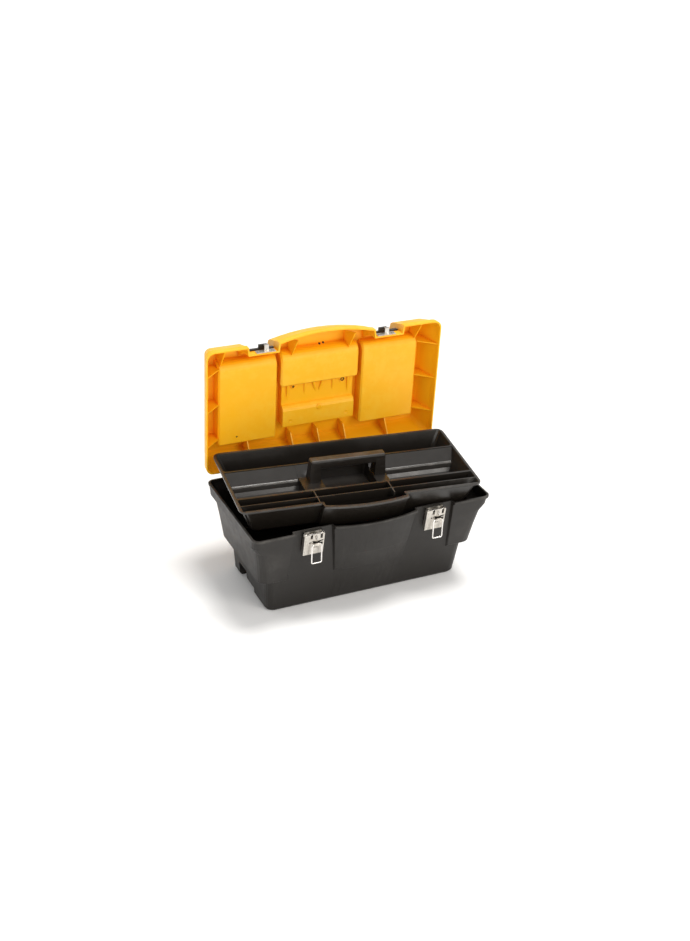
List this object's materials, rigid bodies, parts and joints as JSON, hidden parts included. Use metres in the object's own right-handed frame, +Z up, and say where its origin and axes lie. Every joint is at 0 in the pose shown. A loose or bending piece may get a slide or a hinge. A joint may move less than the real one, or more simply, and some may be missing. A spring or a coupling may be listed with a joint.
{
  "type": "toolbox",
  "caption": "Moulded carpenter's toolbox with a hinged lid, lift-out tray, draw latches, organiser covers and a folding carry handle.",
  "frame": {"origin": "on the underside of the tub, where it stands on the ground, under the middle of the box", "axes": "+X along the box to the right, +Y to the back where the lid is hinged, +Z up; the latches face -Y"},
  "size_m": [0.4975, 0.3282, 0.4673],
  "materials": {
    "black_plastic": "satin, lightly textured moulding",
    "yellow_plastic": "satin moulding",
    "plated_steel": "bright zinc plate"
  },
  "bodies": {
    "tub": {"base_tub": "black_plastic", "latch_plate_left": "plated_steel", "latch_plate_right": "plated_steel", "latch_rivet_left_1": "plated_steel", "latch_rivet_left_2": "plated_steel", "latch_rivet_right_1": "plated_steel", "latch_rivet_right_2": "plated_steel", "latch_pin_left": "plated_steel", "latch_pin_right": "plated_steel"},
    "lid": {"lid_shell": "yellow_plastic", "cover_pin_left": "plated_steel", "cover_pin_right": "plated_steel", "carry_pin_left": "plated_steel", "carry_pin_right": "plated_steel", "keeper_left": "plated_steel", "keeper_right": "plated_steel", "keeper_rivet_left_1": "plated_steel", "keeper_rivet_left_2": "plated_steel", "keeper_rivet_right_1": "plated_steel", "keeper_rivet_right_2": "plated_steel"},
    "hinge_rod": {"hinge_rod": "plated_steel"},
    "tray": {"tray": "black_plastic"},
    "organiser_cover_left": {"organiser_cover_left": "black_plastic"},
    "organiser_cover_right": {"organiser_cover_right": "black_plastic"},
    "carry_handle": {"carry_handle": "black_plastic"},
    "lever_left": {"latch_lever_left": "plated_steel", "latch_staple_left": "plated_steel"},
    "lever_right": {"latch_lever_right": "plated_steel", "latch_staple_right": "plated_steel"},
    "bail_left": {"latch_bail_left": "plated_steel"},
    "bail_right": {"latch_bail_right": "plated_steel"}
  },
  "joints": [
    {"name": "lid_hinge", "type": "hinge", "parent": "tub", "child": "lid", "pos_m": [0, 0.131, 0.193], "axis": [-1, 0, 0], "range_deg": [-88, 0]},
    {"name": "rod_turn", "type": "hinge", "parent": "tub", "child": "hinge_rod", "pos_m": [0, 0.131, 0.193], "axis": [-1, 0, 0], "range_deg": [-56, 0]},
    {"name": "tray_settle", "type": "hinge", "parent": "hinge_rod", "child": "tray", "pos_m": [0, 0.07166, 0.20755], "axis": [0.9954, -0.0374, -0.088], "range_deg": [-60.76, 0]},
    {"name": "cover_left_hinge", "type": "hinge", "parent": "lid", "child": "organiser_cover_left", "pos_m": [-0.15, 0.18504, 0.23301], "axis": [-1, 0, 0], "range_deg": [0, 105]},
    {"name": "cover_right_hinge", "type": "hinge", "parent": "lid", "child": "organiser_cover_right", "pos_m": [0.15, 0.18504, 0.23301], "axis": [-1, 0, 0], "range_deg": [0, 105]},
    {"name": "carry_handle_pivot", "type": "hinge", "parent": "lid", "child": "carry_handle", "pos_m": [0, 0.16975, 0.32703], "axis": [-1, 0, 0], "range_deg": [0, 90]},
    {"name": "lever_left_pivot", "type": "hinge", "parent": "tub", "child": "lever_left", "pos_m": [-0.1255, -0.12264, 0.17556], "axis": [-1, 0, 0], "range_deg": [0, 95]},
    {"name": "lever_right_pivot", "type": "hinge", "parent": "tub", "child": "lever_right", "pos_m": [0.1255, -0.12264, 0.17556], "axis": [-1, 0, 0], "range_deg": [0, 95]},
    {"name": "bail_left_swing", "type": "hinge", "parent": "lever_left", "child": "bail_left", "pos_m": [-0.1213, -0.1275, 0.15552], "axis": [1, 0, 0], "range_deg": [-184.1, 0]},
    {"name": "bail_right_swing", "type": "hinge", "parent": "lever_right", "child": "bail_right", "pos_m": [0.1297, -0.1275, 0.15552], "axis": [1, 0, 0], "range_deg": [-184.1, 0]}
  ],
  "couplings": [
    {"joint": "rod_turn", "follows": "lid_hinge", "ratio": 0.63636},
    {"joint": "tray_settle", "follows": "lid_hinge", "ratio": 0.69049}
  ]
}
